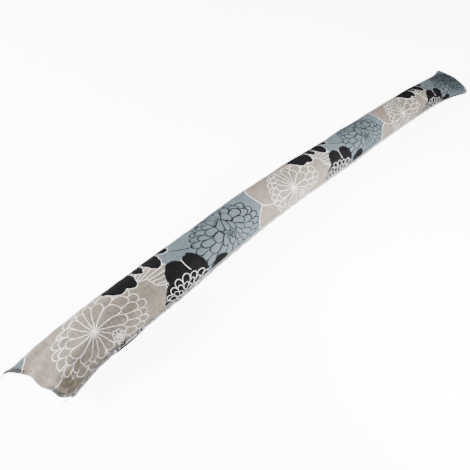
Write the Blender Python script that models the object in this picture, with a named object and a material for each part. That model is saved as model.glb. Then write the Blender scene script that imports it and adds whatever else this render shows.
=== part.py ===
"""A slim draught excluder: a stuffed cotton tube that lies along the foot of a door.

One cloth is folded along its length and overlocked shut along the front side and
across both ends. The seam allowance stays on the outside as a narrow flange. The
cover is sewn flat, so filling it draws the sides in and leaves an ear of cloth at
each corner. Cloth, flange and filling are one filled solid.

Run with: blender --background --python part.py
Metres, +Z up, +X along the tube, -Y towards the side with the long seam. The tube
lies on Z = 0, with the middle of its box over the origin.
"""

import math

import bmesh
import bpy
from mathutils import Vector

# Driving sizes
LENGTH = 0.915  # end seam to end seam, along the middle of the tube
FLAT_WIDTH = 0.0800  # the empty cover pressed flat, from fold to long seam
FILLED_HEIGHT = 0.0440  # usual height of the filled tube
BOW = 0.0205  # how far the middle lies behind the line between the ends
SETTLE = 0.0022  # how far the underside is pressed flat by its own weight

# End seams: how the filled tube runs out into two flat layers
SEAM_THICKNESS = 0.0020  # two layers of cloth with their overlocking
CLOSING_CURVE = 1.7  # 2 closes as an ellipse does, and more is blunter
FLAT_EDGE = 0.25  # power that squares the section's edges off where it is flat
TURNING_LENGTH = 0.115  # length over which an end's own turn and sway die away

# Overlocked flange outside the seams
SIDE_FLANGE = 0.0036  # how far it stands out along the front
END_FLANGE = 0.0019  # how far it stands out past each end seam
RIPPLE = 0.0005  # how far its free edge wanders
RIPPLE_PITCH = 0.021  # length of one wander
CORNER_TRIM = 0.5  # share of the side flange that is left at a corner's free edge

# Fineness of the solid
STATIONS = 104  # sections between the end seams
END_CROWDING = 0.48  # 0 spaces them evenly, and more sets them closer at the ends
ROUND_POINTS = 36  # points around a section, from seam to seam
FLANGE_POINTS = 3  # more points around, for the flange's free edge
HALVINGS = 40  # steps in which a section's width is closed in on

# How the tube varies along its length. A row gives one section:
#   along   distance from the near end as a share of the length
#   girth   share of the full girth that the stitching leaves
#   height  share of FILLED_HEIGHT that the filling reaches
#   sway    how far the tube wanders back from its bow, in metres
#   drop    how far round below the tube's front the long seam lies, in degrees
SECTIONS = (
    # along, girth, height, sway, drop
    (0.00, 1.000, 0.98, 0.0000, 30.0),
    (0.04, 1.000, 1.00, 0.0000, 26.0),
    (0.08, 1.030, 1.02, -0.0024, 14.0),
    (0.12, 1.005, 0.98, 0.0004, 22.0),
    (0.19, 1.010, 1.03, 0.0000, 26.0),
    (0.25, 0.995, 1.00, 0.0010, 36.0),
    (0.36, 0.990, 1.00, 0.0016, 38.0),
    (0.44, 0.990, 0.98, 0.0010, 36.0),
    (0.50, 0.985, 0.97, -0.0010, 36.0),
    (0.57, 0.995, 1.00, -0.0026, 32.0),
    (0.68, 0.970, 0.96, -0.0010, 38.0),
    (0.80, 0.965, 0.96, 0.0004, 38.0),
    (0.90, 0.960, 0.94, 0.0012, 36.0),
    (1.00, 0.960, 0.90, 0.0000, 36.0),
)
ALONG, GIRTH, HEIGHT, SWAY, DROP = range(5)

# The two sewn ends:
#   closing    length over which the tube flattens
#   height     the seam's own height over the floor
#   roll       turn of the seam, back edge up, in degrees
#   sway       how far the whole end lies to the back
#   gather     share of the flat width that the stitching leaves
#   arch       how far the filling lifts the seam's middle over its corners
#   bulge      how far the seam's middle stands out along the tube
#   front_ear  how far the front corner stands out along the tube
#   back_ear   how far the back corner stands out along the tube
ENDS = {
    "near": {
        "closing": 0.070,
        "height": 0.0112,
        "roll": -9.0,
        "sway": 0.0058,
        "gather": 0.91,
        "arch": 0.0010,
        "bulge": -0.0026,
        "front_ear": -0.0070,
        "back_ear": 0.0100,
    },
    "far": {
        "closing": 0.100,
        "height": 0.0165,
        "roll": 16.0,
        "sway": 0.0006,
        "gather": 0.93,
        "arch": 0.0045,
        "bulge": 0.0040,
        "front_ear": 0.0,
        "back_ear": 0.0,
    },
}

# Soft creases that run in from the seams. A row gives one trough:
#   along    where its middle lies, as a share of the length
#   around   where it lies around the section: 0 at the long seam, 0.25 on top
#   reach    half its length along the tube, in metres
#   spread   half its width around the section, as a share of the girth
#   depth    how deep it is, in metres
CREASES = (
    # along, around, reach, spread, depth
    (0.030, 0.16, 0.030, 0.035, 0.0024),
    (0.042, 0.27, 0.034, 0.030, 0.0020),
    (0.034, 0.38, 0.028, 0.032, 0.0022),
    (0.130, 0.33, 0.022, 0.070, 0.0014),
    (0.965, 0.20, 0.026, 0.034, 0.0018),
    (0.960, 0.34, 0.024, 0.032, 0.0016),
)


# Small helpers


def smooth_step(share):
    """0 to 1 with level ends."""
    share = min(max(share, 0.0), 1.0)
    return share * share * (3.0 - 2.0 * share)


def section_value(along, column):
    """A column of SECTIONS at this share of the length, eased between its rows."""
    for low, high in zip(SECTIONS, SECTIONS[1:]):
        if along <= high[ALONG]:
            eased = smooth_step((along - low[ALONG]) / (high[ALONG] - low[ALONG]))
            return low[column] + (high[column] - low[column]) * eased
    return SECTIONS[-1][column]


def ellipse_girth(width, height):
    """Ramanujan's rule for the way round an ellipse."""
    a, b = width / 2.0, height / 2.0
    return math.pi * (3.0 * (a + b) - math.sqrt((3.0 * a + b) * (a + 3.0 * b)))


def width_of(height, girth):
    """The width of a section with this height, as the cloth round it doesn't stretch."""
    low, high = 0.0, girth / 2.0
    for _ in range(HALVINGS):
        middle = (low + high) / 2.0
        if ellipse_girth(middle, height) < girth:
            low = middle
        else:
            high = middle
    return low


def ripple(distance):
    """How far a flange's free edge wanders, this far along its seam."""
    turns = distance / RIPPLE_PITCH
    return RIPPLE * math.sin(math.tau * turns) * math.cos(turns)


# The shape of the filled tube


def end_of(along):
    """The nearer end's own sizes, the way out of it, and the distance to its seam."""
    if along < 0.5:
        return ENDS["near"], -1.0, max(along, 0.0) * LENGTH
    return ENDS["far"], 1.0, max(1.0 - along, 0.0) * LENGTH


def fullness(along):
    """0 at the end seams and 1 where the tube is fully round."""
    end, _, from_end = end_of(along)
    share = min(from_end / end["closing"], 1.0)
    return (1.0 - (1.0 - share) ** CLOSING_CURVE) ** (1.0 / CLOSING_CURVE)


def middle_line(along):
    """The tube's middle on the floor, and the unit vectors along it and to its back."""

    def place(share):
        end, _, from_end = end_of(share)
        turning = 1.0 - smooth_step(from_end / TURNING_LENGTH)
        bow = BOW * 4.0 * share * (1.0 - share)
        to_back = bow + section_value(share, SWAY) + end["sway"] * turning
        return Vector((share * LENGTH, to_back, 0.0))

    step = 0.5 / STATIONS
    ahead = (place(along + step) - place(along - step)).normalized()
    return place(along), ahead, Vector((-ahead.y, ahead.x, 0.0))


def crease_depth(along, around):
    """How far the creases press the cloth in here."""
    depth = 0.0
    for middle, place, reach, spread, deepest in CREASES:
        lengthwise = (along - middle) * LENGTH / reach
        crosswise = (around - place) / spread
        depth += deepest * math.exp(-lengthwise * lengthwise - crosswise * crosswise)
    return depth


def cover_point(along, around, outside=0.0, side=0.0):
    """A point of the cover.

    around runs from the long seam over the top and back under, 0 to 1. outside is how
    far the point stands out from that seam on the flange, and side is 1 on the
    flange's upper face and -1 on its lower one.
    """
    end, outwards, from_end = end_of(along)
    full = fullness(along)
    flat = 1.0 - smooth_step(from_end / end["closing"])
    turning = 1.0 - smooth_step(from_end / TURNING_LENGTH)

    # the section, drawn round its own middle
    filled = FILLED_HEIGHT * section_value(along, HEIGHT)
    height = SEAM_THICKNESS + (filled - SEAM_THICKNESS) * full
    width = width_of(height, 2.0 * FLAT_WIDTH * section_value(along, GIRTH))
    width *= 1.0 - (1.0 - end["gather"]) * flat
    drop = math.radians(section_value(along, DROP)) * smooth_step(full)
    angle = math.tau * around - drop
    across = -math.cos(angle)
    squared = FLAT_EDGE + (1.0 - FLAT_EDGE) * full
    lift = math.copysign(abs(math.sin(angle)) ** squared, math.sin(angle))
    inwards = crease_depth(along, around) * full
    to_back = (width / 2.0 - inwards) * across
    rise = (height / 2.0 - inwards) * lift

    # the flange continues the section's own way out at the long seam
    out = Vector((-height * math.cos(drop), -width * math.sin(drop))).normalized()
    to_back += outside * out.x + side * SEAM_THICKNESS / 2.0 * out.y
    rise += outside * out.y - side * SEAM_THICKNESS / 2.0 * out.x
    rise += end["arch"] * flat * (1.0 - across * across)

    # the end seam's ears and bulge, which move cloth along the tube
    ear = end["back_ear"] if across > 0.0 else end["front_ear"]
    shift = (ear * abs(across) ** 3.0 + end["bulge"] * (1.0 - across * across)) * flat

    # the section's own turn and place
    roll = math.radians(end["roll"]) * turning
    turned_back = to_back * math.cos(roll) - rise * math.sin(roll)
    turned_rise = to_back * math.sin(roll) + rise * math.cos(roll)
    resting = height / 2.0 - SETTLE
    centre = end["height"] + (resting - end["height"]) * full
    middle, ahead, back = middle_line(along)
    point = middle + back * turned_back + ahead * (shift * outwards)
    point.z = max(centre + turned_rise, 0.0)
    return point


# Objects


def fabric(name, colour, roughness):
    """A plain dull cloth material."""
    made = bpy.data.materials.new(name)
    made.use_nodes = True
    shader = made.node_tree.nodes["Principled BSDF"]
    shader.inputs["Base Color"].default_value = (*colour, 1.0)
    shader.inputs["Roughness"].default_value = roughness
    shader.inputs["Metallic"].default_value = 0.0
    return made


def station_share(station):
    """Shares of the length from 0 to 1, set closer together where the ends close."""
    share = station / STATIONS
    return share - END_CROWDING * math.sin(math.tau * share) / math.tau


def ring_point(station, place):
    """A point of the solid.

    Stations -1 and STATIONS + 1 are the end flanges' free edges. Round a section,
    place 0 is the side flange's upper tip and place 1 its upper root, then come the
    body's points, and the last two are its lower root and tip.
    """
    last = ROUND_POINTS + FLANGE_POINTS - 1
    around = min(max(place - 1, 0), ROUND_POINTS) / ROUND_POINTS
    along = station_share(min(max(station, 0), STATIONS))
    outside = SIDE_FLANGE + ripple(along * LENGTH) if place in (0, last) else 0.0
    past_seam = END_FLANGE + ripple(min(around, 1.0 - around) * 2.0 * FLAT_WIDTH)
    if station < 0:
        along -= past_seam / LENGTH
        outside *= CORNER_TRIM
    elif station > STATIONS:
        along += past_seam / LENGTH
        outside *= CORNER_TRIM
    if place <= 1:
        side = 1.0
    elif place >= last - 1:
        side = -1.0
    else:
        side = 0.0
    return cover_point(along, around, outside, side)


def make_cover(material, parent):
    """The filled cover: a cloth wrapped round the filling and sewn shut."""
    across_count = ROUND_POINTS + FLANGE_POINTS
    along_count = STATIONS + 2
    cloth = bmesh.new()
    bmesh.ops.create_grid(cloth, x_segments=along_count, y_segments=across_count, size=0.5)
    rims = {-1: {}, STATIONS + 1: {}}
    for vert in cloth.verts:
        station = round((vert.co.x + 0.5) * along_count) - 1
        place = round((vert.co.y + 0.5) * across_count)
        vert.co = ring_point(station, place % across_count)
        if station in rims:
            rims[station][place] = vert
    for rim in rims.values():
        close_end(cloth, rim)
    bmesh.ops.remove_doubles(cloth, verts=cloth.verts, dist=0.00001)
    bmesh.ops.recalc_face_normals(cloth, faces=cloth.faces)
    join_resting_faces(cloth)
    centre_over_origin(cloth)

    mesh = bpy.data.meshes.new("cover")
    cloth.to_mesh(mesh)
    cloth.free()
    mesh.shade_smooth()
    mesh.materials.append(material)
    made = bpy.data.objects.new("cover", mesh)
    bpy.context.scene.collection.objects.link(made)
    made.parent = parent
    return made


def close_end(cloth, rim):
    """Joins the upper layer to the lower one across an end, as thick as the seam."""
    last = ROUND_POINTS + FLANGE_POINTS - 1
    for place in range(last // 2):
        facing = (place, place + 1, last - place - 1, last - place)
        cloth.faces.new(dict.fromkeys(rim[number] for number in facing))


def join_resting_faces(cloth):
    """Makes one flat face of the underside where the tube lies on the floor."""
    flat_on_floor = [face for face in cloth.faces if all(vert.co.z == 0.0 for vert in face.verts)]
    bmesh.ops.dissolve_faces(cloth, faces=flat_on_floor, use_verts=True)


def centre_over_origin(cloth):
    """Moves the tube so that the middle of its box lies over the origin."""
    wide = [vert.co.x for vert in cloth.verts]
    deep = [vert.co.y for vert in cloth.verts]
    middle = Vector((min(wide) + max(wide), min(deep) + max(deep), 0.0)) / 2.0
    bmesh.ops.translate(cloth, verts=cloth.verts, vec=-middle)


def main():
    for old in list(bpy.data.objects):
        bpy.data.objects.remove(old)
    frame = bpy.data.objects.new("draught_excluder", None)
    bpy.context.scene.collection.objects.link(frame)
    cotton = fabric("printed_cotton", (0.36, 0.33, 0.30), 0.85)
    make_cover(cotton, frame)


main()
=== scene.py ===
# %% [markdown]
# # A printed draught excluder
#
# This lesson dresses a plain CAD part in Blender. The real thing is a slim cotton tube,
# stuffed with fibre, that lies along the foot of a door. One printed cloth is folded
# along its length and overlocked shut along the front and across both ends. We make
# the filled cloth finely enough to carry its creases, sew the overlocking round it as
# real thread, and print it with shader maths.
#
# Lengths are in metres, +X runs along the tube and -Y is the side with the long seam.

# %% Set up
import math

import bmesh
import bpy
from mathutils import Matrix, Vector, noise


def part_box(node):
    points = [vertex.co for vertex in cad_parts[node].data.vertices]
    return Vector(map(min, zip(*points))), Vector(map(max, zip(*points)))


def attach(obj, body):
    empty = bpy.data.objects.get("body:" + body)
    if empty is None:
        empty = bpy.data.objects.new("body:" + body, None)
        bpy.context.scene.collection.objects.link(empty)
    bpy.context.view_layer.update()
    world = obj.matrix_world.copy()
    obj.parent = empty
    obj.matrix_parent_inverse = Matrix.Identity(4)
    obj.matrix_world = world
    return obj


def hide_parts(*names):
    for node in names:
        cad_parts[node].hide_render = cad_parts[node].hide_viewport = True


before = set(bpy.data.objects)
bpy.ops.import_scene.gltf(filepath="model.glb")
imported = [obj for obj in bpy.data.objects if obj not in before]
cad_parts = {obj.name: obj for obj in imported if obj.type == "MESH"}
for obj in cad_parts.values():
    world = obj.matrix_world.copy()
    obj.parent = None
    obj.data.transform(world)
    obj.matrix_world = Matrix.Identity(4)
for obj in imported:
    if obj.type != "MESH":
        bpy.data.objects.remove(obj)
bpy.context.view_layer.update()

# %% [markdown]
# ## The shape of the filled tube
#
# Woven cloth doesn't stretch, so every section of the tube has the same way round. Where
# the tube is full its section is a low ellipse, and where it closes to an end seam the
# section flattens and grows wider. We could blow a cushion up by simulation from the
# start, but a section that is worked out keeps the tube exactly as wide and as long as
# the CAD part. So these are the CAD part's own sizes and rules, drawn more finely.

# %% The tube's sizes
LENGTH = 0.915  # end seam to end seam, along the middle of the tube
FLAT_WIDTH = 0.0800  # the empty cover pressed flat, from fold to long seam
GIRTH_LENGTH = 2.0 * FLAT_WIDTH
FILLED_HEIGHT = 0.0440  # usual height of the filled tube
BOW = 0.0205  # how far the middle lies behind the line between the ends
SETTLE = 0.0022  # how far the underside is pressed flat by its own weight
SEAM_THICKNESS = 0.0020  # two layers of cloth with their overlocking
CLOSING_CURVE = 1.7  # 2 closes as an ellipse does, and more is blunter
FLAT_EDGE = 0.25  # power that squares the section's edges off where it is flat
TURNING_LENGTH = 0.115  # length over which an end's own turn and sway die away
SIDE_FLANGE = 0.0036  # how far the overlocked allowance stands out along the front
END_FLANGE = 0.0019  # how far it stands out past each end seam
RIPPLE = 0.0005  # how far its free edge wanders
RIPPLE_PITCH = 0.021  # length of one wander
CORNER_TRIM = 0.5  # share of the side flange that is left at a corner's free edge

# How far the side flange is turned up, or down under the tube: share of the length, degrees
TILTS = ((0.0, 0.0), (0.04, 10.0), (0.09, 75.0), (0.13, 60.0), (0.20, -28.0), (1.0, -28.0))

# A row is one section: share of the length, share of the full girth, share of the filled
# height, sway to the back, and how far round below the front the seam lies, in degrees
SECTIONS = (
    (0.00, 1.000, 0.98, 0.0000, 30.0),
    (0.04, 1.000, 1.00, 0.0000, 26.0),
    (0.08, 1.030, 1.02, -0.0024, 14.0),
    (0.12, 1.005, 0.98, 0.0004, 22.0),
    (0.19, 1.010, 1.03, 0.0000, 26.0),
    (0.25, 0.995, 1.00, 0.0010, 36.0),
    (0.36, 0.990, 1.00, 0.0016, 38.0),
    (0.44, 0.990, 0.98, 0.0010, 36.0),
    (0.50, 0.985, 0.97, -0.0010, 36.0),
    (0.57, 0.995, 1.00, -0.0026, 32.0),
    (0.68, 0.970, 0.96, -0.0010, 38.0),
    (0.80, 0.965, 0.96, 0.0004, 38.0),
    (0.90, 0.960, 0.94, 0.0012, 36.0),
    (1.00, 0.960, 0.90, 0.0000, 36.0),
)
ALONG, GIRTH, HEIGHT, SWAY, DROP = range(5)

# The two sewn ends, with the same words as the CAD part
NEAR_END = {"closing": 0.070, "height": 0.0112, "roll": -9.0, "sway": 0.0058, "gather": 0.91,
            "arch": 0.0010, "bulge": -0.0026, "front_ear": -0.0070, "back_ear": 0.0100}
FAR_END = {"closing": 0.100, "height": 0.0165, "roll": 16.0, "sway": 0.0006, "gather": 0.93,
           "arch": 0.0045, "bulge": 0.0040, "front_ear": 0.0, "back_ear": 0.0}

# What the finer cloth adds to them: how far the gathered seam waves up and down, how far
# its frayed allowance stands out past the CAD part's, and how far that edge scallops
NEAR_END |= {"wave": 0.0013, "frayed": 0.0013, "scallop": 0.0008}
FAR_END |= {"wave": 0.0003, "frayed": 0.0, "scallop": 0.0006}
WAVE_ANGLE = 9.0  # radians of that wave over half the seam's width
WAVE_START = 0.7  # its angle at the middle of the seam

# Soft troughs: share of the length, place around, half length, spread around, depth
CREASES = (
    (0.030, 0.16, 0.030, 0.035, 0.0024),
    (0.042, 0.27, 0.034, 0.030, 0.0020),
    (0.034, 0.38, 0.028, 0.032, 0.0022),
    (0.130, 0.33, 0.022, 0.070, 0.0014),
    (0.965, 0.20, 0.026, 0.034, 0.0018),
    (0.960, 0.34, 0.024, 0.032, 0.0016),
)
print("the cloth, cut flat:", LENGTH, "by", GIRTH_LENGTH)


# %% How full the tube is, and where its middle runs
def smooth_step(share):
    share = min(max(share, 0.0), 1.0)
    return share * share * (3.0 - 2.0 * share)


def section_value(along, column):
    for low, high in zip(SECTIONS, SECTIONS[1:]):
        if along <= high[ALONG]:
            eased = smooth_step((along - low[ALONG]) / (high[ALONG] - low[ALONG]))
            return low[column] + (high[column] - low[column]) * eased
    return SECTIONS[-1][column]


def end_of(along):
    if along < 0.5:
        return NEAR_END, -1.0, max(along, 0.0) * LENGTH
    return FAR_END, 1.0, max(1.0 - along, 0.0) * LENGTH


def fullness(along):
    end, _, from_end = end_of(along)
    share = min(from_end / end["closing"], 1.0)
    return (1.0 - (1.0 - share) ** CLOSING_CURVE) ** (1.0 / CLOSING_CURVE)


def middle_place(share):
    end, _, from_end = end_of(share)
    turning = 1.0 - smooth_step(from_end / TURNING_LENGTH)
    to_back = BOW * 4.0 * share * (1.0 - share) + section_value(share, SWAY) + end["sway"] * turning
    return Vector((share * LENGTH, to_back, 0.0))


def middle_line(along):
    step = 0.005
    ahead = (middle_place(along + step) - middle_place(along - step)).normalized()
    return middle_place(along), ahead, Vector((-ahead.y, ahead.x, 0.0))


print("full a hand's width in:", round(fullness(0.1), 3))


# %% A section's width, from a way round that can't stretch
HALVINGS = 30  # steps in which the search for a width halves its range


def ellipse_girth(width, height):
    a, b = width / 2.0, height / 2.0
    return math.pi * (3.0 * (a + b) - math.sqrt((3.0 * a + b) * (a + 3.0 * b)))


def width_of(height, girth):
    low, high = 0.0, girth / 2.0
    for _ in range(HALVINGS):
        middle = (low + high) / 2.0
        if ellipse_girth(middle, height) < girth:
            low = middle
        else:
            high = middle
    return low


def tilt_at(along):
    """How far the flange is turned up here, in degrees."""
    for (low, first), (high, second) in zip(TILTS, TILTS[1:]):
        if along <= high:
            return first + (second - first) * smooth_step((along - low) / (high - low))
    return TILTS[-1][1]


def section_at(along):
    """Everything about one section that doesn't change around it."""
    end, outwards, from_end = end_of(along)
    full = fullness(along)
    flat = 1.0 - smooth_step(from_end / end["closing"])
    filled = FILLED_HEIGHT * section_value(along, HEIGHT)
    height = SEAM_THICKNESS + (filled - SEAM_THICKNESS) * full
    width = width_of(height, GIRTH_LENGTH * section_value(along, GIRTH))
    width *= 1.0 - (1.0 - end["gather"]) * flat
    drop = math.radians(section_value(along, DROP)) * smooth_step(full)
    turning = 1.0 - smooth_step(from_end / TURNING_LENGTH)
    out = Vector((-height * math.cos(drop), -width * math.sin(drop))).normalized()
    out.rotate(Matrix.Rotation(-math.radians(tilt_at(along)), 2))
    return {
        "along": along,
        "end": end,
        "outwards": outwards,
        "full": full,
        "flat": flat,
        "height": height,
        "width": width,
        "drop": drop,
        "out": out,
        "roll": math.radians(end["roll"]) * turning,
        "centre": end["height"] + (height / 2.0 - SETTLE - end["height"]) * full,
        "middle": middle_line(along),
    }


print("width of the full section:", round(width_of(FILLED_HEIGHT, GIRTH_LENGTH), 4))


# %% A point of the cover
def crease_depth(along, around):
    depth = 0.0
    for middle, place, reach, spread, deepest in CREASES:
        lengthwise = (along - middle) * LENGTH / reach
        crosswise = (around - place) / spread
        depth += deepest * math.exp(-lengthwise * lengthwise - crosswise * crosswise)
    return depth


def seam_shift(section, around):
    """How far along the tube an end seam's slant and bulge carry the cloth here."""
    end = section["end"]
    across = -math.cos(math.tau * around - section["drop"])
    ear = end["back_ear"] if across > 0.0 else end["front_ear"]
    carried = ear * abs(across) ** 3.0 + end["bulge"] * (1.0 - across * across)
    return carried * section["flat"] * section["outwards"]


def cover_point(section, around, outside=0.0, side=0.0):
    """around runs from the long seam over the top and back under, 0 to 1."""
    end, full, flat = section["end"], section["full"], section["flat"]
    angle = math.tau * around - section["drop"]
    across = -math.cos(angle)
    squared = FLAT_EDGE + (1.0 - FLAT_EDGE) * full
    lift = math.copysign(abs(math.sin(angle)) ** squared, math.sin(angle))
    inwards = crease_depth(section["along"], around) * full
    to_back = (section["width"] / 2.0 - inwards) * across
    rise = (section["height"] / 2.0 - inwards) * lift
    out = section["out"]
    to_back += outside * out.x + side * SEAM_THICKNESS / 2.0 * out.y
    rise += outside * out.y - side * SEAM_THICKNESS / 2.0 * out.x
    rise += end["arch"] * flat * (1.0 - across * across)
    rise += end["wave"] * flat * flat * math.sin(WAVE_ANGLE * across + WAVE_START)
    shift = seam_shift(section, around)
    roll = section["roll"]
    turned_back = to_back * math.cos(roll) - rise * math.sin(roll)
    turned_rise = to_back * math.sin(roll) + rise * math.cos(roll)
    middle, ahead, back = section["middle"]
    point = middle + back * turned_back + ahead * shift
    point.z = max(section["centre"] + turned_rise, 0.0)
    return point


print("top of the tube, halfway along:", cover_point(section_at(0.5), 0.35))

# %% [markdown]
# ## Laying the cloth round the filling
#
# The cover starts as one flat grid, as the real cloth does. Each row of its vertices is
# one ring round the tube, and the first and the last few of a ring are the overlocked
# flange. While the grid still has its rows and columns, we write each vertex's place on
# the cut cloth into a UV map, in metres. The print and the weave read that map, so they
# follow the cloth round the tube and through every crease.

# %% The rings of the cover
STATIONS = 300  # sections between the end seams
END_CROWDING = 0.30  # 0 spaces them evenly, and more sets them closer at the ends
ROUND_POINTS = 56  # points around a section, from seam to seam
FLANGE_POINTS = 3  # more points around, for the flange's free edge
LAST_PLACE = ROUND_POINTS + FLANGE_POINTS - 1
SCALLOP_PITCH = 0.024  # length of one scallop of an end's free edge
SCALLOP_START = 0.007  # how far from the long seam the first one starts


def ripple(distance):
    turns = distance / RIPPLE_PITCH
    return RIPPLE * math.sin(math.tau * turns) * math.cos(turns)


def station_share(station):
    share = station / STATIONS
    return share - END_CROWDING * math.sin(math.tau * share) / math.tau


def around_of(place):
    return min(max(place - 1, 0), ROUND_POINTS) / ROUND_POINTS


def end_reach(end, around):
    """How far the end flange stands out past the seam here."""
    from_front = min(around, 1.0 - around) * GIRTH_LENGTH
    scallop = math.sin(math.tau * (from_front - SCALLOP_START) / SCALLOP_PITCH)
    return END_FLANGE + end["frayed"] + end["scallop"] * scallop


def ring_point(station, place, sections):
    around = around_of(place)
    at_seam = min(max(station, 0), STATIONS)
    outside = 0.0
    if place in (0, LAST_PLACE):
        outside = SIDE_FLANGE + ripple(station_share(at_seam) * LENGTH)
    side = 1.0 if place <= 1 else -1.0 if place >= LAST_PLACE - 1 else 0.0
    section = sections[at_seam]
    if at_seam == station:
        return cover_point(section, around, outside, side)
    past = math.copysign(end_reach(section["end"], around) / LENGTH, station)
    return cover_point(section_at(section["along"] + past), around, outside * CORNER_TRIM, side)


def cloth_place(station, place, sections):
    """The same point on the cut cloth: along it, and round from the long seam."""
    section = sections[min(max(station, 0), STATIONS)]
    along = section["along"] * LENGTH + seam_shift(section, around_of(place))
    if station < 0:
        along -= END_FLANGE
    elif station > STATIONS:
        along += END_FLANGE
    round_from_seam = around_of(place) * GIRTH_LENGTH
    if place == 0:
        round_from_seam -= SIDE_FLANGE
    elif place >= LAST_PLACE:
        round_from_seam += SIDE_FLANGE
    return along, round_from_seam


PRINT_ASKEW = 0.0115  # how far round the print is turned at the near end seam
ASKEW_REACH = 0.020  # how far in from that seam it is back in line
PRINT_SLACK = 0.011  # how much farther on the print is along the far end


def printed_place(station, along, round_from_seam):
    """The same point on the print, which was fed in a little unevenly when it was sewn."""
    from_near = station_share(min(max(station, 0), STATIONS)) * LENGTH
    askew = PRINT_ASKEW * (1.0 - smooth_step(from_near / ASKEW_REACH))
    slack = PRINT_SLACK * smooth_step((along - 0.45) / 0.25)
    return along + slack, round_from_seam + askew


print("rings:", STATIONS + 3, "with", LAST_PLACE + 1, "points each")


# %% The cover's mesh
def close_end(cloth, rim, places):
    """Joins the upper layer to the lower one across an end, as thick as the seam."""
    for place in range(LAST_PLACE // 2):
        facing = (place, place + 1, LAST_PLACE - place - 1, LAST_PLACE - place)
        face = cloth.faces.new(dict.fromkeys(rim[number] for number in facing))
        for loop in face.loops:
            loop[places].uv = printed_place(*loop.vert[upright])


across_count = ROUND_POINTS + FLANGE_POINTS
along_count = STATIONS + 2
cloth = bmesh.new()
places = cloth.loops.layers.uv.new("cut_cloth")
bmesh.ops.create_grid(cloth, x_segments=along_count, y_segments=across_count, size=0.5)
upright = cloth.verts.layers.float_vector.new("place")
sections = [section_at(station_share(station)) for station in range(STATIONS + 1)]
rims = {-1: {}, STATIONS + 1: {}}
for vert in cloth.verts:
    station = round((vert.co.x + 0.5) * along_count) - 1
    place = round((vert.co.y + 0.5) * across_count)
    vert.co = ring_point(station, place % across_count, sections)
    vert[upright] = (station, *cloth_place(station, place, sections))
    if station in rims:
        rims[station][place] = vert
for face in cloth.faces:
    for loop in face.loops:
        loop[places].uv = printed_place(*loop.vert[upright])
for rim in rims.values():
    close_end(cloth, rim, places)
bmesh.ops.remove_doubles(cloth, verts=cloth.verts, dist=0.00001)
bmesh.ops.recalc_face_normals(cloth, faces=cloth.faces)
print("cover:", len(cloth.verts), "vertices,", len(cloth.faces), "faces")

# %% Over the CAD part's place
node_low, node_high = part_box("cover")
wide = [vert.co.x for vert in cloth.verts]
deep = [vert.co.y for vert in cloth.verts]
made_middle = Vector((min(wide) + max(wide), min(deep) + max(deep), 0.0)) / 2.0
node_middle = (Vector(node_low) + Vector(node_high)) / 2.0
to_place = Vector((node_middle.x, node_middle.y, 0.0)) - made_middle
bmesh.ops.translate(cloth, verts=cloth.verts, vec=to_place)
print("moved into the CAD part's box by", to_place)

mesh = bpy.data.meshes.new("filled_cover")
cloth.to_mesh(mesh)
cloth.free()
mesh.shade_smooth()
cover = bpy.data.objects.new("filled_cover", mesh)
bpy.context.scene.collection.objects.link(cover)
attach(cover, "root")
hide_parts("cover")

# %% [markdown]
# ## Letting the cloth pucker
#
# At the sewn ends a round tube is forced into a flat line, so the real cloth has too
# much width there and puckers. A short cloth simulation finds those puckers for us. The
# filling presses outwards, and the threads want the lengths that they had on the flat
# cloth: we give those to the solver as a rest shape, a plain straight tube of the same
# girth. The seams are held, and no point may go far, so that the tube keeps its sizes.

# %% The rest shape, and what is held
PRESSURE = 2.0
SIMULATED_FRAMES = 30
FARTHEST = 0.0060  # how far the simulation may move a point
HELD_LENGTH = 0.002  # cloth this near to a seam is held with it
FLOOR_HOLD = 0.5  # how firmly the floor holds the cloth that lies on it
ON_FLOOR = 0.0004  # cloth below this height lies on the floor
NUDGE = 0.0003  # uneven start, so that the puckers don't come out alike
NUDGE_SCALE = 140.0
SPARE_CLOTH = 0.07  # share of spare cloth that is gathered into an end seam
SPARE_REACH = 0.060  # how far from an end seam there is spare cloth


def straight_tube(place):
    """Where a point of the cut cloth lies when it is rolled into a plain tube."""
    along, round_from_seam = place
    radius = GIRTH_LENGTH / math.tau
    outside = max(-round_from_seam, round_from_seam - GIRTH_LENGTH, 0.0)
    angle = math.tau * min(max(round_from_seam / GIRTH_LENGTH, 0.0), 1.0)
    lift = math.copysign(SEAM_THICKNESS / 2.0, 0.5 - angle / math.tau) if outside else 0.0
    return Vector((along, -(radius + outside) * math.cos(angle), radius * math.sin(angle) + lift))


def hold_of(place, height):
    """1 where the seams hold the cloth, part where the floor does, and 0 elsewhere."""
    along, round_from_seam = place
    from_end = min(along, LENGTH - along)
    from_side = min(round_from_seam, GIRTH_LENGTH - round_from_seam)
    if from_end < HELD_LENGTH or from_side <= HELD_LENGTH:
        return 1.0
    return FLOOR_HOLD if height < ON_FLOOR else 0.0


def spare_of(place):
    """How much of the spare cloth lies here: all at the end seams, none farther in."""
    from_end = min(place[0], LENGTH - place[0])
    return 1.0 - smooth_step(from_end / SPARE_REACH)


# %% The filling, as pressure inside a cloth
COTTON = {
    "quality": 6, "mass": 0.0001,
    "tension_stiffness": 12.0, "compression_stiffness": 12.0,
    "shear_stiffness": 3.0, "bending_stiffness": 0.02,
    "tension_damping": 8.0, "compression_damping": 8.0, "air_damping": 2.0,
    "shrink_min": 0.0, "shrink_max": -SPARE_CLOTH, "vertex_group_shrink": "spare",
    "use_pressure": True, "uniform_pressure_force": PRESSURE, "vertex_group_mass": "held",
}


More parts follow.
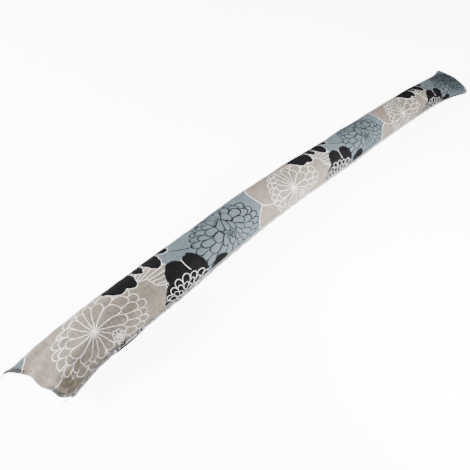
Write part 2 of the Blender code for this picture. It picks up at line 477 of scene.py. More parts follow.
def fill_with_pressure(cover, rolled):
    """Adds the cloth solver, with cotton's stiffness and the filling's pressure."""
    filling = cover.modifiers.new("filling", "CLOTH")
    for name, value in COTTON.items():
        setattr(filling.settings, name, value)
    filling.settings.rest_shape_key = rolled
    filling.settings.effector_weights.gravity = 0.0
    filling.collision_settings.use_collision = False
    filling.point_cache.frame_start = 1
    filling.point_cache.frame_end = SIMULATED_FRAMES


# %% Let it settle
def settle(cover):
    """Blows the cover up against its seams, and keeps the shape that it finds."""
    places = [tuple(item.vector)[1:] for item in cover.data.attributes["place"].data]
    for vert, place in zip(cover.data.vertices, places):
        if hold_of(place, vert.co.z) == 0.0:
            vert.co += vert.normal * (NUDGE * noise.noise(vert.co * NUDGE_SCALE))
    before = [vert.co.copy() for vert in cover.data.vertices]
    cover.shape_key_add(name="as modelled")
    rolled = cover.shape_key_add(name="rolled from the flat")
    for point, place in zip(rolled.data, places):
        point.co = straight_tube(place)
    held = cover.vertex_groups.new(name="held")
    spare = cover.vertex_groups.new(name="spare")
    for number, (place, point) in enumerate(zip(places, before)):
        held.add([number], hold_of(place, point.z), "REPLACE")
        spare.add([number], spare_of(place), "REPLACE")
    fill_with_pressure(cover, rolled)
    scene = bpy.context.scene
    for number in range(1, SIMULATED_FRAMES + 1):
        scene.frame_set(number)
    looked_at = cover.evaluated_get(bpy.context.evaluated_depsgraph_get())
    after = [vert.co.copy() for vert in looked_at.data.vertices]
    cover.modifiers.clear()
    cover.shape_key_clear()
    cover.vertex_groups.clear()
    scene.frame_set(1)
    moved = []
    for vert, old, new in zip(cover.data.vertices, before, after):
        step = new - old
        moved.append(step.length)
        kept = step * (FARTHEST / (FARTHEST + step.length))
        vert.co = old + kept
        vert.co.z = max(vert.co.z, 0.0)
    print("moved by up to", round(1000.0 * max(moved), 2), "mm")
    print("on average by", round(1000.0 * sum(moved) / len(moved), 2), "mm")


settle(cover)

# %% [markdown]
# ## The gathers at the two ends
#
# The stitching bites harder in some places than in others, so the deepest gathers are
# never evenly spaced. The simulation gives the soft swell between them, and we press
# the main ones in one by one: each is a trough that starts at the seam, is deepest a
# third of the way in, and runs out into the round of the tube. The loose fibre inside adds
# soft lumps, and near the near end the underside hangs out a little below the seam.

# %% The gathers
MILLIMETRES = 1000.0
DEEPEST_AT = 6.75  # makes (1 - t)² t come to 1 where it is greatest
FROM_SIDE = 5.0  # a gather fades out this near to the long seam

# at which end, millimetres round from the long seam, length, half width, depth, slant
GATHERS = (
    ("near", 9.0, 90.0, 8.5, 3.9, 0.00),
    ("near", 13.5, 55.0, 4.0, 2.2, 0.05),
    ("near", 32.5, 46.0, 4.0, 1.8, 0.05),
    ("near", 41.0, 26.0, 2.6, 0.8, 0.00),
    ("near", 50.0, 44.0, 4.2, 1.7, -0.05),
    ("near", 62.5, 38.0, 3.6, 1.4, -0.10),
    ("near", 73.0, 28.0, 3.6, 1.0, -0.10),
    ("near", 92.0, 32.0, 4.0, 1.4, 0.10),
    ("near", 107.0, 40.0, 4.5, 1.6, 0.00),
    ("near", 124.0, 30.0, 3.5, 1.2, 0.05),
    ("near", 141.0, 34.0, 4.0, 1.2, -0.10),
    ("far", 9.0, 36.0, 4.0, 1.2, 0.10),
    ("far", 20.0, 32.0, 3.5, 1.1, 0.05),
    ("far", 31.0, 48.0, 4.5, 1.8, 0.05),
    ("far", 42.0, 30.0, 3.0, 0.9, 0.00),
    ("far", 52.0, 50.0, 4.5, 1.7, -0.05),
    ("far", 63.0, 30.0, 3.5, 1.0, -0.10),
    ("far", 71.0, 40.0, 4.0, 1.3, -0.15),
    ("far", 94.0, 38.0, 4.5, 1.4, 0.05),
    ("far", 112.0, 30.0, 4.0, 1.2, 0.00),
    ("far", 131.0, 42.0, 4.5, 1.6, -0.05),
    ("far", 147.0, 32.0, 3.5, 1.2, -0.10),
)


# %% Lumps and the sag
LUMP = 0.0014  # how far the filling's lumps push the cloth in or out
LUMP_SCALE = Vector((19.0, 24.0, 24.0))
CRINKLE = 0.00045  # the same for small creases
CRINKLE_SCALE = Vector((95.0, 45.0, 45.0))
LUMPS_FROM = 0.003  # the floor keeps the cloth smooth below this height
LUMPS_RISE = 0.010  # and the lumps are full this much higher
LUMPS_FROM_SEAM = 0.012  # they are full this far in from every seam
PAST_END = 0.010  # an end's edge counts as this far in from a seam
SAG_AT = 0.092  # where along the tube the underside hangs lowest
SAG_REACH = 0.038  # half its length
SAG_ROUND = 0.152  # its place round from the long seam
SAG_WIDTH = 0.0065  # half its width
SAG_DEPTH = 0.0030
SAG_FROM_SEAM = 0.004  # it is full this far in from every seam


def lumpy(point):
    """How far the uneven filling pushes the cloth out here."""
    lump = LUMP * noise.noise(point * LUMP_SCALE)
    crinkle = CRINKLE * noise.noise(point * CRINKLE_SCALE)
    return (lump + crinkle) * smooth_step((point.z - LUMPS_FROM) / LUMPS_RISE)


def sag(distance, turned):
    """The underside hangs out below the long seam near the near end."""
    lengthwise = (distance - SAG_AT) / SAG_REACH
    crosswise = (turned - SAG_ROUND) / SAG_WIDTH
    return SAG_DEPTH * math.exp(-lengthwise * lengthwise - crosswise * crosswise)


def gathered(station, turned):
    """How far the gathers press the cloth in here, in millimetres."""
    share_along = station_share(min(max(station, 0), STATIONS))
    pressed = 0.0
    for end, middle, length, half_width, depth, slant in GATHERS:
        from_end = share_along if end == "near" else 1.0 - share_along
        from_end *= LENGTH * MILLIMETRES
        share = min(from_end / length, 1.0)
        aside = (turned - middle - slant * from_end) / half_width
        pressed += depth * DEEPEST_AT * (1.0 - share) ** 2 * share * math.exp(-aside * aside)
    from_side = min(turned, GIRTH_LENGTH * MILLIMETRES - turned)
    return pressed * smooth_step(from_side / FROM_SIDE)


# %% Press them in
cut_places = [tuple(item.vector) for item in mesh.attributes["place"].data]
normals = [vert.normal.copy() for vert in mesh.vertices]
deepest = 0.0
for vert, (station, distance, turned), normal in zip(mesh.vertices, cut_places, normals):
    depth = gathered(station, turned * MILLIMETRES) / MILLIMETRES
    from_end = min(distance, LENGTH - distance) + PAST_END
    from_seam = min(from_end, turned, GIRTH_LENGTH - turned)
    pushed = lumpy(vert.co) * smooth_step(from_seam / LUMPS_FROM_SEAM)
    pushed += sag(distance, turned) * smooth_step(from_seam / SAG_FROM_SEAM)
    vert.co += normal * (pushed - depth)
    vert.co.z = max(vert.co.z, 0.0)
    deepest = max(deepest, depth)
print("deepest gather:", round(MILLIMETRES * deepest, 2), "mm")

# %% [markdown]
# ## Maths on a surface
#
# The print is drawn by the material itself: every line and field is a small sum on the
# cloth's own coordinates. Long sums are hard to read as nodes, so one small class wraps
# a node's socket and lets us write them as Python expressions.

# %% A finish, and an amount that varies over it
class Finish:
    """A material that is being made, node by node."""

    def __init__(self, name):
        self.material = bpy.data.materials.new(name)
        self.material.use_nodes = True
        self.tree = self.material.node_tree
        self.tree.nodes.clear()

    def node(self, kind, settings=(), sockets=()):
        made = self.tree.nodes.new(kind)
        for name, value in dict(settings).items():
            setattr(made, name, value)
        for socket, value in dict(sockets).items():
            plain = value.socket if isinstance(value, Amount) else value
            if isinstance(plain, bpy.types.NodeSocket):
                self.tree.links.new(plain, made.inputs[socket])
            else:
                made.inputs[socket].default_value = plain
        return made

    def amount(self, kind, settings=(), sockets=(), output=0):
        return Amount(self, self.node(kind, settings, sockets).outputs[output])

    def between(self, value, low, high, bottom=0.0, top=1.0):
        """Bottom where the value is at low, top where it is at high, and eased between."""
        settings = {"interpolation_type": "SMOOTHSTEP", "clamp": True}
        sockets = {0: value, 1: low, 2: high, 3: bottom, 4: top}
        return self.amount("ShaderNodeMapRange", settings, sockets)

    def noise(self, place, scale, detail=2.0, output=0):
        sockets = {"Vector": place, "Scale": scale, "Detail": detail}
        return self.amount("ShaderNodeTexNoise", {"noise_dimensions": "3D"}, sockets, output)

    def colour(self, share, first, second):
        sockets = {0: share, 6: first, 7: second}
        return self.node("ShaderNodeMix", {"data_type": "RGBA"}, sockets).outputs[2]

    def vector(self, operation, first, second=(0.0, 0.0, 0.0), scale=1.0):
        sockets = {0: first, 1: second, 3: scale}
        return self.node("ShaderNodeVectorMath", {"operation": operation}, sockets).outputs[0]

    def parts(self, vector):
        split = self.node("ShaderNodeSeparateXYZ", sockets={0: vector})
        return [Amount(self, socket) for socket in split.outputs]

    def joined(self, x, y):
        return self.node("ShaderNodeCombineXYZ", sockets={0: x, 1: y}).outputs[0]


class Amount:
    """A number that varies over a surface. An expression on it adds Math nodes."""

    def __init__(self, finish, socket):
        self.finish = finish
        self.socket = socket

    def maths(self, operation, *others, turned=False):
        values = (*others, self) if turned else (self, *others)
        return self.finish.amount("ShaderNodeMath", {"operation": operation}, dict(enumerate(values)))

    def __add__(self, other):
        return self.maths("ADD", other)

    def __sub__(self, other):
        return self.maths("SUBTRACT", other)

    def __mul__(self, other):
        return self.maths("MULTIPLY", other)

    def __truediv__(self, other):
        return self.maths("DIVIDE", other)

    def __pow__(self, other):
        return self.maths("POWER", other)

    def __gt__(self, other):
        return self.maths("GREATER_THAN", other)

    def __rsub__(self, other):
        return self.maths("SUBTRACT", other, turned=True)

    def __abs__(self):
        return self.maths("ABSOLUTE")

    __radd__ = __add__
    __rmul__ = __mul__


print("sums on a surface are ready")

# %% [markdown]
# ## The print
#
# The cloth is an ordinary floral furnishing cotton in four flat inks: taupe, blue grey,
# black and white. Big outlined blooms lie on overlapping lobed fields, and the whole
# design comes round again every 317 mm. We draw it as a printer would build it up, one
# field over another. A field is a union of ellipses, and a bloom is a few rings of
# petals, each petal a rounded wedge worked out from the angle round the bloom's middle.
# Small noise moves every line a little, as a brush would.

# %% Places on the cloth
REPEAT = 317.1  # millimetres along the cloth until the print comes round again
EDGE = 0.16  # half the softness of a printed edge, in millimetres
WHITE_LINE = 0.36  # half the width of most white lines
SLOW_WOBBLE = 3.4  # how far the brush strayed over a hand's width
QUICK_WOBBLE = 1.1  # how far it trembled

cotton = Finish("printed_cotton_cloth")
cut_place = cotton.node("ShaderNodeUVMap", {"uv_map": "cut_cloth"}).outputs[0]
cut_place = cotton.vector("SCALE", cut_place, scale=MILLIMETRES)
threads_along, threads_round = cotton.parts(cut_place)[:2]

# a brush's wobble, slow and quick
slow = cotton.vector("SUBTRACT", cotton.noise(cut_place, 0.045, 1.0, 1).socket, (0.5, 0.5, 0.5))
quick = cotton.vector("SUBTRACT", cotton.noise(cut_place, 0.35, 1.0, 1).socket, (0.5, 0.5, 0.5))
moved = cotton.vector("ADD", cut_place, cotton.vector("SCALE", slow, scale=SLOW_WOBBLE))
moved = cotton.vector("ADD", moved, cotton.vector("SCALE", quick, scale=QUICK_WOBBLE))
along, across = cotton.parts(moved)[:2]

# %% The next row of the print, which begins behind the fold
ROW_PITCH = 84.0  # millimetres round the cloth from one row of blooms to the next
ROW_SHIFT = 205.0  # millimetres that the next row is moved along
ROW_SCALLOP = 24.0  # length of one scallop of the line between the rows
ROW_SCALLOP_DEPTH = 5.0
ROW_OVERLAP = 3.0  # how far the next row reaches over this one

wave = abs((along * (math.pi / ROW_SCALLOP)).maths("SINE"))
row_edge = across - (ROW_PITCH - ROW_OVERLAP) - wave * ROW_SCALLOP_DEPTH
next_row = row_edge > 0.0
along = along + next_row * ROW_SHIFT
across = across - next_row * ROW_PITCH


# %% Fields and lines
def from_bloom(start):
    """Coordinates that count from here along the cloth, and come round every repeat."""
    around = (along - start).maths("WRAP", REPEAT / 2.0, -REPEAT / 2.0)
    return cotton.joined(around, across)


def lobe(plane, middle, radii, turn=0.0):
    """How far outside an ellipse a place is, in about millimetres."""
    sockets = {
        "Vector": plane,
        "Location": (*middle, 0.0),
        "Rotation": (0.0, 0.0, math.radians(turn)),
        "Scale": (*radii, 1.0),
    }
    inside = cotton.node("ShaderNodeMapping", {"vector_type": "TEXTURE"}, sockets).outputs[0]
    reach = cotton.amount("ShaderNodeVectorMath", {"operation": "LENGTH"}, {0: inside}, output=1)
    return (reach - 1.0) * (sum(radii) / 2.0)


def lobes(plane, *rows):
    """One field out of several ellipses."""
    field = lobe(plane, *rows[0])
    for row in rows[1:]:
        field = field.maths("MINIMUM", lobe(plane, *row))
    return field


def filled(distance):
    return cotton.between(distance, EDGE, -EDGE)


def drawn(distance, half_width):
    return cotton.between(abs(distance), half_width + EDGE, half_width - EDGE)


def stroke(plane, start, end, bend, half_width):
    """A bent brush line from one place to another."""
    run = math.dist(start, end)
    turn = math.atan2(end[1] - start[1], end[0] - start[0])
    sockets = {"Vector": plane, "Location": (*start, 0.0), "Rotation": (0.0, 0.0, turn)}
    placed = cotton.node("ShaderNodeMapping", {"vector_type": "TEXTURE"}, sockets).outputs[0]
    forwards, aside = cotton.parts(placed)[:2]
    curve = forwards * (run - forwards) * (4.0 * bend / (run * run))
    reached = filled(abs(forwards - run / 2.0) - run / 2.0)
    return drawn(aside - curve, half_width) * reached


print("nodes so far:", len(cotton.tree.nodes))


# %% Rings of petals
UNLIKE = 0.35  # how much wider the petals are on some sides of a bloom
UNEVEN = 0.34  # how much their lengths differ
ROUNDNESS = 2.4  # 2 makes a petal's tip an ellipse, and more is blunter


def petal_ring(plane, middle, stretch, count, root, tip, turn, curl=0.0, seed=0.0, line=0.5):
    """Masks of one ring: where its petals lie, and where their outlines run."""
    sockets = {"Vector": plane, "Location": (*middle, 0.0), "Scale": (*stretch, 1.0)}
    placed = cotton.node("ShaderNodeMapping", {"vector_type": "TEXTURE"}, sockets).outputs[0]
    x, y = cotton.parts(placed)[:2]
    radius = cotton.amount("ShaderNodeVectorMath", {"operation": "LENGTH"}, {0: placed}, output=1)
    angle = y.maths("ARCTAN2", x)
    unlike = (angle * 2.0 + (seed + 1.0)).maths("SINE") * UNLIKE
    petal = angle * (count / math.tau) + radius * curl + turn + unlike
    number = petal.maths("FLOOR").maths("FLOORED_MODULO", count) + seed
    settings = {"noise_dimensions": "1D"}
    uneven = cotton.amount("ShaderNodeTexWhiteNoise", settings, {"W": number}, output=0)
    side = abs(petal.maths("FRACT") - 0.5) * 2.0
    length = (uneven - 0.5) * (UNEVEN * (tip - root)) + (tip - root)
    past = ((radius - root) / length).maths("MAXIMUM", 0.0)
    shape = (side**ROUNDNESS + past**ROUNDNESS) ** (1.0 / ROUNDNESS)
    wedge = radius * (math.pi / count)
    near_tip = past.maths("MINIMUM", 1.0)
    size = wedge + near_tip * near_tip * (tip - root - wedge)
    distance = (shape - 1.0) * size
    return filled(distance), drawn(distance, line)


def bloom(plane, rings, line):
    """The outlines of a bloom, its outer ring first, each ring lying over the last."""
    lines = None
    for number, ring in enumerate(rings):
        lies, edges = petal_ring(plane, *ring, seed=7.0 * number, line=line)
        lines = edges if lines is None else (lines * (1.0 - lies)).maths("MAXIMUM", edges)
    return lines


# %% The inks
TAUPE = (0.240, 0.203, 0.165, 1.0)
BLUE_GREY = (0.118, 0.148, 0.168, 1.0)
BLACK = (0.0078, 0.0074, 0.0084, 1.0)
WHITE = (0.98, 0.95, 0.93, 1.0)
# pale colour of the margin, also used as painted light on the turned-up flange near the near end
PALE_MARGIN_AND_PAINTED_LIGHT_COLOUR = (0.66, 0.64, 0.62, 1.0)

# %% The taupe field, with its white bloom
# a lobe's row: middle, radii, and turn in degrees
# a ring's row: middle, stretch, number of petals, root, tip, turn and curl
taupe_plane = from_bloom(58.9)
taupe_field = lobes(
    taupe_plane,
    ((12.0, 36.0), (72.0, 62.0)),
    ((-40.0, 52.0), (27.0, 24.0)),
    ((-50.0, 17.0), (29.0, 22.0)),
    ((58.0, 10.0), (22.0, 26.0)),
)
print_colour = cotton.colour(filled(taupe_field), BLUE_GREY, TAUPE)
print_colour = cotton.colour(drawn(taupe_field, 0.42), print_colour, WHITE)
stem = stroke(taupe_plane, (-64.0, 38.5), (-35.0, 29.5), -3.0, WHITE_LINE)
print_colour = cotton.colour(stem, print_colour, WHITE)
WHITE_RINGS = (
    ((6.0, 31.0), (1.18, 0.88), 21, 34.0, 42.0, 0.3, 0.0),
    ((4.5, 32.0), (1.15, 0.92), 18, 27.0, 35.5, 0.1, 0.0),
    ((0.0, 32.6), (1.06, 1.0), 15, 18.0, 28.0, 0.6, 0.008),
)
STAMENS = (
    ((15.0, 14.5), (0.8, 1.2), 9, 3.0, 6.0, 0.0, 0.0),
    ((15.0, 12.5), (0.8, 1.2), 5, 0.8, 3.0, 0.3, 0.0),
)
white_bloom = bloom(taupe_plane, WHITE_RINGS, WHITE_LINE)
stamens = bloom(taupe_plane, STAMENS, 0.30)
behind = filled(lobe(taupe_plane, (15.0, 14.0), (4.6, 7.0)))
white_bloom = (white_bloom * (1.0 - behind)).maths("MAXIMUM", stamens)
print_colour = cotton.colour(white_bloom, print_colour, WHITE)

# %% The blue grey field's black bloom
blue_plane = from_bloom(250.0)
BLACK_RINGS = (
    ((-4.0, 34.0), (1.18, 0.86), 23, 36.0, 45.0, 0.0, 0.0),
    ((-2.0, 40.0), (1.12, 0.88), 19, 27.0, 37.0, 0.4, 0.006),
    ((0.0, 47.0), (1.06, 0.92), 15, 17.0, 28.0, 0.7, 0.010),
    ((0.0, 52.0), (0.8, 1.1), 9, 11.0, 19.0, 0.2, 0.014),
)
black_bloom = bloom(blue_plane, BLACK_RINGS, 0.66)

# the inner petals hang as a ball below the middle, with the stamens under it
ball = lobe(blue_plane, (-4.0, 46.5), (9.0, 9.8), -14.0)
ball_petals = bloom(blue_plane, (((2.0, 58.0), (1.0, 1.1), 13, 14.0, 19.5, 0.2, 0.0),), 0.5)
black_bloom = black_bloom * (1.0 - filled(ball))
black_bloom = black_bloom.maths("MAXIMUM", ball_petals * filled(ball))
black_bloom = black_bloom.maths("MAXIMUM", drawn(ball, 0.5))
HANGING = (
    ((-1.0, 33.0), (1.3, 0.8), 10, 3.5, 6.5, 0.0, 0.0),
    ((-1.0, 33.0), (1.3, 0.8), 6, 1.0, 3.6, 0.5, 0.0),
)
hanging = bloom(blue_plane, HANGING, 0.42)
under_ball = filled(lobe(blue_plane, (-1.0, 33.0), (8.2, 5.0)))
black_bloom = (black_bloom * (1.0 - under_ball)).maths("MAXIMUM", hanging)
on_blue = filled(0.0 - taupe_field)
black_bloom = black_bloom.maths("MAXIMUM", stroke(blue_plane, (-78.0, 58.0), (-52.0, 45.0), -2.5, 0.5))
print_colour = cotton.colour(black_bloom * on_blue, print_colour, BLACK)

# %% The bud
dark_plane = from_bloom(150.0)
bud = lobes(dark_plane, ((-5.0, 43.5), (13.0, 14.0), 20.0), ((-17.0, 53.0), (9.0, 6.5), 0.0))
BUD_RING = ((-44.0, 43.0), (1.0, 1.0), 46, 62.0, 70.0, 0.0, 0.02)
bud_lines = bloom(dark_plane, (BUD_RING,), WHITE_LINE)
print_colour = cotton.colour(filled(bud), print_colour, TAUPE)
print_colour = cotton.colour(bud_lines * filled(bud), print_colour, WHITE)
print_colour = cotton.colour(drawn(bud, 0.4), print_colour, WHITE)

# %% The black lobes before the bloom, with the scales on them
RAGGED = 3.6  # how ragged a black lobe's edge is

front_lobes = lobes(
    dark_plane,
    ((10.5, 28.0), (15.0, 17.5)),
    ((33.0, 16.0), (16.5, 26.5)),
    ((2.0, 6.0), (20.0, 23.0)),
    ((70.5, 3.0), (15.5, 18.0)),
)
ragged = (cotton.noise(cut_place, 0.2, 2.0) - 0.5) * RAGGED
front_lobes = front_lobes + ragged
print_colour = cotton.colour(filled(front_lobes), print_colour, BLACK)
parting = stroke(dark_plane, (24.5, 40.5), (26.0, 26.0), -1.5, WHITE_LINE)
print_colour = cotton.colour(parting, print_colour, WHITE)
SCALES = (
    ((14.0, -13.0), (1.05, 1.0), 24, 29.0, 39.0, 0.0, 0.0),
    ((13.0, -14.0), (1.05, 1.0), 22, 20.0, 32.0, 0.5, 0.0),
    ((12.0, -16.0), (1.05, 1.0), 19, 12.0, 25.0, 0.0, 0.0),
)
scales = bloom(dark_plane, SCALES, 0.33)
scale_field = lobe(dark_plane, (14.0, -12.0), (42.5, 39.5))
print_colour = cotton.colour(scales * filled(scale_field) * filled(front_lobes), print_colour, WHITE)

# %% The black lobes behind it
FAR_AWAY = 60.0  # takes a lobe out of the row that it isn't in

back_lobes = lobes(
    dark_plane,
    ((-46.0, 67.0), (14.0, 18.5)),
    ((-33.0, 65.0), (9.5, 18.5)),
    ((-15.5, 70.0), (6.6, 15.0)),
    ((2.0, 65.0), (9.8, 17.5)),
    ((21.0, 72.0), (8.4, 13.0)),
    ((-14.0, 80.0), (48.0, 12.0)),
)
under_lobe = lobe(dark_plane, (150.0, 72.0), (34.0, 14.0)) + (1.0 - next_row) * FAR_AWAY
back_lobes = back_lobes.maths("MINIMUM", under_lobe) + ragged
print_colour = cotton.colour(filled(back_lobes), print_colour, BLACK)
print_colour = cotton.colour(drawn(back_lobes - 0.3, 0.30), print_colour, WHITE)

# the line where the two rows meet
print_colour = cotton.colour(drawn(row_edge, 0.5), print_colour, WHITE)

# %% The margin, printed paler, and much paler near the near end: painted light on the turned-up flange
MARGIN_PALENESS_WITH_PAINTED_LIGHT = (0.75, 0.12)  # how pale the margin is painted near that end, where most of it is painted light, and farther along
PAINTED_LIGHT_FADE_PLACES = (110.0, 170.0)  # between these places it changes from one to the other

rolled_place = cotton.node("ShaderNodeAttribute", {"attribute_name": "place"}).outputs["Vector"]
round_place = cotton.parts(rolled_place)[2] * MILLIMETRES
half_round = GIRTH_LENGTH * MILLIMETRES / 2.0
margin = abs(round_place - half_round) - half_round
# a pale margin everywhere, plus painted light on the flange near the near end
pale_margin_and_painted_light = cotton.between(margin, 0.2, 0.6) * cotton.between(threads_along, *PAINTED_LIGHT_FADE_PLACES, *MARGIN_PALENESS_WITH_PAINTED_LIGHT)
print_colour = cotton.colour(pale_margin_and_painted_light, print_colour, PALE_MARGIN_AND_PAINTED_LIGHT_COLOUR)
print("nodes in the print:", len(cotton.tree.nodes))

# %% The cloth's surface
WEAVE = 0.9  # millimetres from one thread to the next but one

shade = cotton.between(cotton.noise(cut_place, 0.02, 3.0), 0.3, 0.7, 0.94, 1.05)
warp = (threads_along * (math.tau / WEAVE)).maths("SINE")
weft = (threads_round * (math.tau / WEAVE)).maths("SINE")
weave = warp * weft
thick_warp = cotton.noise(cotton.joined(threads_along * 0.10, threads_round * 0.6), 1.0, 3.0)
thick_weft = cotton.noise(cotton.joined(threads_along * 0.6, threads_round * 0.10), 1.0, 3.0)
slub = thick_warp + thick_weft - 1.0
tone = shade + weave * 0.06 + slub
toned = cotton.vector("SCALE", print_colour, scale=tone)
bump = cotton.node("ShaderNodeBump", sockets={"Strength": 0.25, "Distance": 0.0002, "Height": weave})
shader = cotton.node(
    "ShaderNodeBsdfPrincipled",
    sockets={
        "Base Color": toned,
        "Roughness": 0.9,
        "Specular IOR Level": 0.06,
        "Normal": bump.outputs[0],
    },
)
cotton.node("ShaderNodeOutputMaterial", sockets={0: shader.outputs[0]})
mesh.materials.append(cotton.material)
print("nodes in the cloth:", len(cotton.tree.nodes))

# %% [markdown]
# ## The overlocking
#
# An overlocker trims the raw edges and wraps them in one go: a needle thread runs just
# inside the allowance, and two looper threads go over and under it and cross at its
# edge. At this scale the threads are real shapes, so each one is a fine tube along its
# own path. A path is given in the seam's own terms: how far along it, how far out from
# the needle line, and how high between its lower and its upper face.

# %% Places on a seam
STITCH = 0.0027  # length of one stitch
THREAD = 0.00024  # a thread's radius


def side_seam(distance, outside):
    """The upper and the lower face of the side flange, this far along it and out."""
    section = section_at(distance / LENGTH)
    outside *= 1.0 + ripple(distance) / SIDE_FLANGE
    return [cover_point(section, 0.0, outside, side) for side in (1.0, -1.0)]


def end_seam(along):
    """A rule like side_seam, for the flange across an end."""
    way = -1.0 if along < 0.5 else 1.0
    sewn_width = section_at(along)["width"]

    def faces(distance, outside):
        around = min(max(distance / sewn_width, 0.0), 1.0) * 0.5
        outside *= end_reach(end_of(along)[0], around) / END_FLANGE
        section = section_at(along + way * outside / LENGTH)
        return [cover_point(section, place) for place in (around, 1.0 - around)]

    return faces, sewn_width


def thread_point(faces, distance, outside, level):
    upper, lower = faces(distance, outside)
    point = (upper + lower) / 2.0 + (upper - lower).normalized() * level
    point += to_place
    point.z = max(point.z, THREAD)
    return point


print("stitches along the side:", round(LENGTH / STITCH))

# %% The threads
ABOVE = SEAM_THICKNESS / 2.0 + 0.6 * THREAD
INSIDE = SEAM_THICKNESS / 2.0 - 2.0 * THREAD

# a stitch of each thread: share of the stitch, share of the way out, height
NEEDLE = ((0.0, 0.06, INSIDE), (0.15, 0.06, ABOVE), (0.5, 0.06, ABOVE + 0.0001), (0.85, 0.06, ABOVE))
OVER = ((0.0, 0.10, ABOVE), (0.15, 0.55, ABOVE + 0.0002), (0.28, 0.98, ABOVE),
        (0.36, 1.12, 0.0), (0.55, 1.0, ABOVE), (0.80, 0.55, ABOVE + 0.0001))
UNDER = ((0.5, 0.10, -ABOVE), (0.66, 0.55, -ABOVE - 0.0002), (0.78, 0.98, -ABOVE),
         (0.88, 1.12, 0.0), (1.05, 1.0, -ABOVE), (1.30, 0.55, -ABOVE - 0.0001))


def thread_curve(name):
    """A curve with no path yet, as thick as a thread."""
    curve = bpy.data.curves.new(name, "CURVE")
    curve.dimensions = "3D"
    curve.bevel_depth = THREAD
    curve.bevel_resolution = 0
    curve.use_fill_caps = True
    return curve


def lay(curve, path):
    """Lays one thread along these points."""
    spline = curve.splines.new("POLY")
    spline.points.add(len(path) - 1)
    for point, place in zip(spline.points, path):
        point.co = (*place, 1.0)


def made_thread(curve, name, finish):
    """Turns thread paths into one plain mesh that rides with the tube."""
    laid = bpy.data.objects.new(name + "_path", curve)
    bpy.context.scene.collection.objects.link(laid)
    bpy.context.view_layer.update()
    looked_at = laid.evaluated_get(bpy.context.evaluated_depsgraph_get())
    thread = bpy.data.meshes.new_from_object(looked_at)
    thread.name = name
    bpy.data.objects.remove(laid)
    thread.shade_smooth()
    thread.materials.clear()
    thread.materials.append(finish.material)
    made = bpy.data.objects.new(name, thread)
    bpy.context.scene.collection.objects.link(made)
    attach(made, "root")
    print(name, "has", len(thread.polygons), "faces")


# %% Sewing a seam
LOOSE = 0.10  # how unevenly the stitches were pulled tight


def sewn(name, faces, length, reach, finish, pitch=STITCH):
    """Sews one seam: three threads as fine tubes, joined into one piece."""
    curve = thread_curve(name)
    stitches = int(length / pitch)
    for pattern in (NEEDLE, OVER, UNDER):
        path = []
        for stitch in range(stitches):
            loose = 1.0 + LOOSE * noise.noise(Vector((stitch * 0.7, 3.1, 0.0)))
            for share, out, level in pattern:
                distance = (stitch + share) * pitch
                path.append(thread_point(faces, distance, out * reach * loose, level))
        lay(curve, path)
    print(name, "has", stitches, "stitches")
    made_thread(curve, name, finish)


# %% Thread finishes
def thread_finish(name, light, dark):
    """Spun thread: plain, dull and a little uneven in tone."""
    finish = Finish(name)
    place = finish.node("ShaderNodeTexCoord").outputs["Object"]
    uneven = finish.between(finish.noise(place, 900.0, 2.0), 0.3, 0.7)
    colour = finish.colour(uneven, dark, light)
    sockets = {"Base Color": colour, "Roughness": 0.8, "Specular IOR Level": 0.2}
    shader = finish.node("ShaderNodeBsdfPrincipled", sockets=sockets)
    finish.node("ShaderNodeOutputMaterial", sockets={0: shader.outputs[0]})
    return finish


pale_thread = thread_finish("pale_thread", (0.90, 0.89, 0.87, 1.0), (0.50, 0.49, 0.48, 1.0))
# the same thread as the side's, coloured dark as painted shade along the end seams
painted_shade_thread = thread_finish("painted_shade_thread", (0.30, 0.29, 0.28, 1.0), (0.045, 0.045, 0.05, 1.0))

# %% Sew the three seams
END_STITCH = 0.0024  # the end seams have finer stitches

sewn("side_overlock", side_seam, LENGTH, SIDE_FLANGE, pale_thread)
near_faces, near_width = end_seam(0.0)
# the end seams take the thread that is coloured dark as painted shade
sewn("near_end_overlock", near_faces, near_width, END_FLANGE, painted_shade_thread, END_STITCH)
far_faces, far_width = end_seam(1.0)
sewn("far_end_overlock", far_faces, far_width, END_FLANGE, painted_shade_thread, END_STITCH)

# %% Loose ends of thread
TAIL_REACH = 0.0055  # how far a cut end of thread stands out from a corner
TAIL_STEPS = 7
TAIL_DROP = 0.0012  # how far it falls from step to step

# on which end, how far from the front, heading in degrees, curl in radians
TAILS = ((near_faces, 0.0, -150.0, 0.7), (near_faces, 0.0, 225.0, -0.5),
         (near_faces, 0.98 * near_width, 160.0, 0.6), (near_faces, 0.95 * near_width, 215.0, -0.4),
         (far_faces, 0.97 * far_width, 40.0, 0.6))
tails = thread_curve("thread_tails")
for faces, distance, heading, curl in TAILS:
    start = thread_point(faces, distance, END_FLANGE, 0.0)
    place = start.copy()
    path = []
    for number in range(TAIL_STEPS + 1):
        path.append(place.copy())
        turned = math.radians(heading) + curl * number / 2.0
        place.x += math.cos(turned) * TAIL_REACH / TAIL_STEPS
        place.y += math.sin(turned) * TAIL_REACH / TAIL_STEPS
        place.z = max(start.z - TAIL_DROP * number, THREAD)
    lay(tails, path)
# the loose ends take the thread that is coloured dark as painted shade
made_thread(tails, "thread_tails", painted_shade_thread)
print("loose ends:", len(TAILS))

# %% [markdown]
# ## The camera, the floor and the light
#
# The photo looks down on the tube from its near left, so that it runs away to the top
# right. The camera's place and its lens were worked out by fitting the CAD part's
# outline to the photo's. The light is a bright studio: one lamp behind on the left
# rounds the tube off, and a weaker one low in front keeps the seam from going dark. The
# photo's ground is pure white. We let the floor and a far wall glow to match it, and
# link each one's light to itself alone, so that the glow doesn't flatten the tube.

# %% The camera
SENSOR = 36.0  # millimetres
FOCAL_PIXELS = 460.0
PICTURE_PIXELS = 470.0
HEADING = 41.868  # degrees from +X towards +Y
PITCH = 40.320  # degrees down
EYE = (-0.5053, -0.2877, 0.3792)

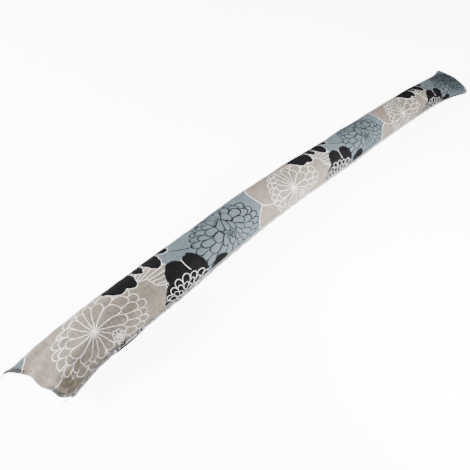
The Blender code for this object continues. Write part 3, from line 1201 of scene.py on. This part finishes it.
lens = bpy.data.cameras.new("studio_camera")
lens.sensor_width = SENSOR
lens.sensor_fit = "HORIZONTAL"
lens.lens = SENSOR * FOCAL_PIXELS / PICTURE_PIXELS
lens.clip_start = 0.01
camera = bpy.data.objects.new("studio_camera", lens)
camera.location = EYE
camera.rotation_euler = (math.radians(90.0 - PITCH), 0.0, math.radians(HEADING - 90.0))
bpy.context.scene.collection.objects.link(camera)
bpy.context.scene.camera = camera
print("lens:", round(lens.lens, 2), "mm")

# %% The floor, and a far wall behind it
FLOOR_SIZE = 80.0
WALL_HEIGHT = 60.0
WALL_RADIUS = 0.49 * FLOOR_SIZE
GLOW = 9.0


def staged(made, name):
    """Turns a bmesh into a piece of the studio, which isn't part of the object."""
    mesh = bpy.data.meshes.new(name)
    made.to_mesh(mesh)
    made.free()
    piece = bpy.data.objects.new(name, mesh)
    bpy.context.scene.collection.objects.link(piece)
    return piece


def glowing(piece, name, grey, gloss, alone_name):
    """Gives a piece its own white glow, whose light reaches that piece alone."""
    finish = bpy.data.materials.new(name)
    finish.use_nodes = True
    sockets = finish.node_tree.nodes["Principled BSDF"].inputs
    sockets["Base Color"].default_value = (grey, grey, grey, 1.0)
    sockets["Roughness"].default_value = 0.9
    sockets["Specular IOR Level"].default_value = gloss
    sockets["Emission Color"].default_value = (1.0, 1.0, 1.0, 1.0)
    sockets["Emission Strength"].default_value = GLOW
    piece.data.materials.append(finish)
    alone = bpy.data.collections.new(alone_name)
    alone.objects.link(piece)
    piece.light_linking.receiver_collection = alone


ground = bmesh.new()
bmesh.ops.create_grid(ground, x_segments=1, y_segments=1, size=FLOOR_SIZE / 2.0)
glowing(staged(ground, "studio_floor"), "pale_floor", 0.90, 0.1, "light_table_alone")

# a round wall, far off, so that low views have no dark sky
round_wall = bmesh.new()
bmesh.ops.create_cone(
    round_wall, cap_ends=False, segments=64, depth=WALL_HEIGHT,
    radius1=WALL_RADIUS, radius2=WALL_RADIUS,
)
bmesh.ops.translate(round_wall, verts=round_wall.verts, vec=(0.0, 0.0, WALL_HEIGHT / 2.0))
bmesh.ops.reverse_faces(round_wall, faces=round_wall.faces)
glowing(staged(round_wall, "studio_wall"), "lit_wall", 0.0, 0.0, "light_wall_alone")
print("the floor is", FLOOR_SIZE, "m wide")


# %% The lamps
def soft_lamp(name, place, aim, size, power):
    lamp = bpy.data.lights.new(name, "AREA")
    lamp.shape = "DISK"
    lamp.size = size
    lamp.energy = power
    made = bpy.data.objects.new(name, lamp)
    made.location = place
    made.rotation_euler = (Vector(aim) - Vector(place)).to_track_quat("-Z", "Y").to_euler()
    bpy.context.scene.collection.objects.link(made)


soft_lamp("from_the_front", (-0.2, -0.47, 0.26), (0.58, 0.0, 0.0), 0.3, 14.2)
soft_lamp("from_behind_left", (-1.81, 1.26, 0.86), (-0.71, 0.0, 0.0), 0.6, 182.0)

studio = bpy.data.worlds.new("studio")
studio.use_nodes = True
studio.node_tree.nodes["Background"].inputs["Color"].default_value = (1.0, 1.0, 1.0, 1.0)
studio.node_tree.nodes["Background"].inputs["Strength"].default_value = 0.05
bpy.context.scene.world = studio
